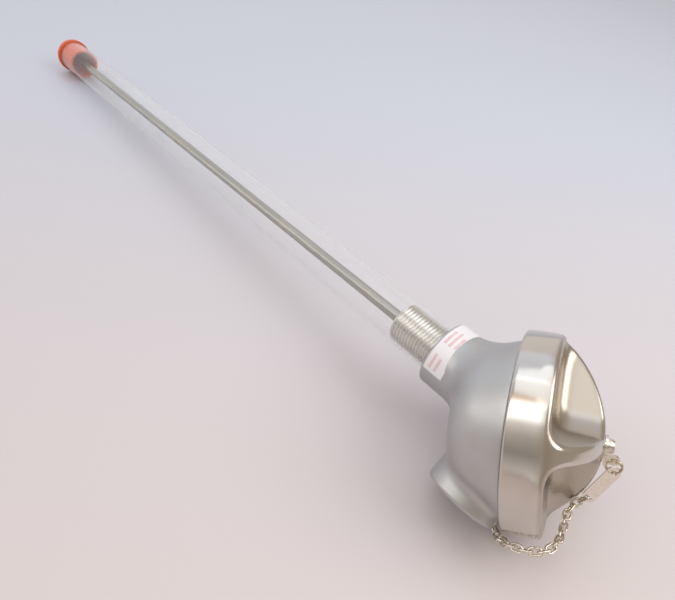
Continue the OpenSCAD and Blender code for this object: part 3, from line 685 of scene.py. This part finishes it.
def link_tree():
    """Geometry nodes that put an oval wire link on each point, turned by the point's own turn."""
    tree = bpy.data.node_groups.new("oval links", "GeometryNodeTree")
    tree.interface.new_socket("Geometry", in_out="OUTPUT", socket_type="NodeSocketGeometry")
    tree.interface.new_socket("Geometry", in_out="INPUT", socket_type="NodeSocketGeometry")
    sockets = {name: tree.interface.new_socket(name, in_out="INPUT", socket_type="NodeSocketFloat")
               for name in ("Clear length", "Clear width", "Wire")}

    def node(kind, links=(), out=0, **settings):
        new = tree.nodes.new(kind)
        for key, value in settings.items():
            setattr(new, key, value)
        for index, value in dict(links).items():
            if isinstance(value, bpy.types.NodeSocket):
                tree.links.new(value, new.inputs[index])
            else:
                new.inputs[index].default_value = value
        return new.outputs[out]

    def maths(operation, a, b):
        return node("ShaderNodeMath", {0: a, 1: b}, operation=operation)

    given = tree.nodes.new("NodeGroupInput").outputs
    bend = maths("MULTIPLY", maths("ADD", given["Clear width"], given["Wire"]), 0.5)
    straight = maths("SUBTRACT", given["Clear length"], given["Clear width"])
    half_run = maths("MULTIPLY", straight, 0.5)
    ring = node("GeometryNodeCurvePrimitiveCircle", {"Resolution": 28, "Radius": bend})
    x = node("ShaderNodeSeparateXYZ", {0: node("GeometryNodeInputPosition")})
    stretch = node("ShaderNodeCombineXYZ", {0: maths("MULTIPLY", maths("SIGN", x, 0.0), half_run)})
    oval = node("GeometryNodeSetPosition", {"Geometry": ring, "Offset": stretch})
    wire = node("GeometryNodeCurvePrimitiveCircle",
                {"Resolution": 12, "Radius": maths("MULTIPLY", given["Wire"], 0.5)})
    link = node("GeometryNodeCurveToMesh", {"Curve": oval, "Profile Curve": wire})
    turn = node("GeometryNodeInputNamedAttribute", {0: "turn"}, data_type="FLOAT_VECTOR")
    placed = node("GeometryNodeInstanceOnPoints",
                  {"Points": given["Geometry"], "Instance": link, "Rotation": turn})
    solid = node("GeometryNodeRealizeInstances", {"Geometry": placed})
    painted = node("GeometryNodeSetMaterial", {"Geometry": solid, "Material": materials["chain"]})
    tree.links.new(painted, tree.nodes.new("NodeGroupOutput").inputs[0])
    return tree, {name: socket.identifier for name, socket in sockets.items()}


def link_mesh(lengths, odds, clear_length, clear_width):
    """The links at these lengths along the route, as one plain mesh."""
    points = bpy.data.meshes.new("link places")
    points.from_pydata(CAP.out([eased_at(s) for s in lengths]).tolist(), [], [])
    turns = points.attributes.new("turn", "FLOAT_VECTOR", "POINT")
    for item, length, odd in zip(turns.data, lengths, odds):
        item.vector = (CAP.turn @ Matrix(link_turn(length, odd).tolist())).to_euler()
    maker = put("links", points)
    links = maker.modifiers.new("links", "NODES")
    links.node_group, inputs = LINK_TREE
    for name, size in (("Clear length", clear_length), ("Clear width", clear_width),
                       ("Wire", LINK_WIRE)):
        links[inputs[name]] = size * MM
    return smoothed(finished(maker))


LINK_TREE = link_tree()
first_link = LINK_LENGTH / 2 + LINK_WIRE / 2
last_link = runs[-1] - (END_LENGTH / 2 - ANCHOR_SHANK - FIT_GAP)
last_step = (LINK_LENGTH + END_LENGTH) / 2 - LINK_WIRE / 4
run = last_link - last_step - first_link
steps = 2 * math.ceil(run / (2 * (LINK_LENGTH - FIT_GAP / 2)))
small_links = link_mesh(np.linspace(first_link, first_link + run, steps + 1),
                        [(steps - i) % 2 == 1 for i in range(steps + 1)], LINK_LENGTH, LINK_WIDTH)
chain = add_piece("chain_links", small_links, "head", "chain", ["chain"])
chain.parent = None  # the chain runs between two bodies, so it is left on neither
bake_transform(chain)
add_piece("chain_end_link", link_mesh([last_link], [True], END_LENGTH, END_WIDTH), "head", "chain")

# The split ring is wound twice, and its wire crosses from one turn to the other
RING_LAY, RING_OVERLAP, CROSSING = 0.45, 0.12, 0.5
turns = np.linspace(-RING_OVERLAP, 4 * math.pi + RING_OVERLAP, 97)
lay = np.interp(turns, [2 * math.pi - CROSSING, 2 * math.pi + CROSSING], [-RING_LAY, RING_LAY])
ring_path = np.stack([ring_middle[0] + RING_RADIUS * np.cos(turns), lay,
                      ring_middle[1] + RING_RADIUS * np.sin(turns)], 1)
ring = capped_tube(ring_path, RING_WIRE, 12)
add_piece("key_ring", mesh_of(SWIVEL.out(ring[0]), ring[1]), "swivel", "split_ring", ["split_ring"])

for name, thing in nodes.items():
    if not thing.hide_render:
        thing.data.materials.clear()
        thing.data.materials.append(materials[name])


# Floor, light and camera

def area_lamp(name, place, aim, width, power, colour):
    lamp = bpy.data.lights.new(name, "AREA")
    lamp.shape, lamp.size, lamp.energy, lamp.color = "DISK", width, power, colour
    holder = put(name, lamp)
    holder.location = place
    holder.rotation_euler = (Vector(aim) - Vector(place)).to_track_quat("-Z", "Y").to_euler()


def floor_paint():
    """Pale table top, cooler away from the camera and warmer near it; this tint is painted light,
    the colour of the light across it.
    """
    paint = Paint("table top")
    x, y, z = paint.split(paint.node("ShaderNodeTexCoord", out=3))
    near = paint.ramp(x * 0.80 - y * 0.60, -0.35, 0.20)
    colour = paint.mix(near, (0.57, 0.61, 0.71), (0.68, 0.60, 0.59))
    return paint.shade(Base_Color=colour, Roughness=0.6)


FLOOR_HALF, FLOOR_GAP = 4, 0.0002
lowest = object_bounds()[0].z
floor_mesh = bpy.data.meshes.new("floor")
floor_mesh.from_pydata([(x * FLOOR_HALF, y * FLOOR_HALF, lowest - FLOOR_GAP)
                        for x, y in ((-1, -1), (1, -1), (1, 1), (-1, 1))], [], [(0, 1, 2, 3)])
floor_mesh.materials.append(floor_paint())
floor = put("floor", floor_mesh)

CAMERA_PLACE, CAMERA_LENS = (0.06662, -0.17011, 0.18105), 27.902
AZIMUTH, ELEVATION, ROLL = (math.radians(angle) for angle in (38.846, 43.333, 14.110))
look = Vector((-math.sin(AZIMUTH) * math.cos(ELEVATION), math.cos(AZIMUTH) * math.cos(ELEVATION),
               -math.sin(ELEVATION)))
level = Vector((math.cos(AZIMUTH), math.sin(AZIMUTH), 0))
right = level * math.cos(ROLL) + level.cross(look) * math.sin(ROLL)
camera = put("camera", bpy.data.cameras.new("camera"))
camera.data.lens = CAMERA_LENS
camera.data.clip_start = 0.01
camera.matrix_world = Matrix.Translation(CAMERA_PLACE) @ Matrix(
    (right, right.cross(look), -look)).transposed().to_4x4()
bpy.context.scene.camera = camera

area_lamp("window", Vector((0.05, 0, 0.95)) + level * 0.75, (0, 0, 0), 0.9, 5.5, (1.0, 0.99, 0.97))
area_lamp("ceiling", (-0.25, 0.15, 1.4), (-0.1, 0, 0), 1.4, 4, (0.95, 0.97, 1.0))


ROOM_STRENGTH = 1.4


def room_light():
    """A room that changes round the cap's axis: table, dark, window, warm ceiling, far wall."""
    world = bpy.data.worlds.new("room")
    bpy.context.scene.world = world
    world.use_nodes = True
    world.node_tree.nodes.clear()
    paint = Paint("room maths")
    paint.tree = world.node_tree
    way = paint.node("ShaderNodeTexCoord", out=0)
    x, y, z = paint.split(paint.node("ShaderNodeVectorRotate", {"rotation_type": "EULER_XYZ"}, way,
                                     Rotation=CAP.turn.transposed().to_euler()))
    around = paint.node("ShaderNodeMath", {"operation": "ARCTAN2"}, y, x) / (-math.pi)
    stops = [(0.20, (0.62, 0.58, 0.56)), (0.33, (0.26, 0.24, 0.22)), (0.43, (0.42, 0.38, 0.35)),
             (0.51, (0.72, 0.68, 0.64)), (0.545, (1.60, 1.62, 1.65)), (0.63, (1.60, 1.58, 1.55)),
             (0.65, (0.78, 0.54, 0.38)), (0.68, (0.46, 0.42, 0.37)), (0.765, (0.50, 0.50, 0.50)),
             (0.78, (0.95, 0.97, 1.0)), (0.80, (0.52, 0.54, 0.57)), (0.95, (0.66, 0.68, 0.74))]
    room = paint.node("ShaderNodeValToRGB", {"stops": stops}, around)
    room = paint.mix(paint.ramp(z, 0.10, 0.55), room, (0.34, 0.29, 0.24))
    shown = paint.mix(paint.node("ShaderNodeLightPath", out=0), room, (0.66, 0.68, 0.74))
    background = paint.node("ShaderNodeBackground", {}, shown, ROOM_STRENGTH)
    surround = world.node_tree.nodes.new("ShaderNodeOutputWorld")
    world.node_tree.links.new(background.socket, surround.inputs["Surface"])


room_light()
bpy.context.scene.view_settings.view_transform = "Standard"
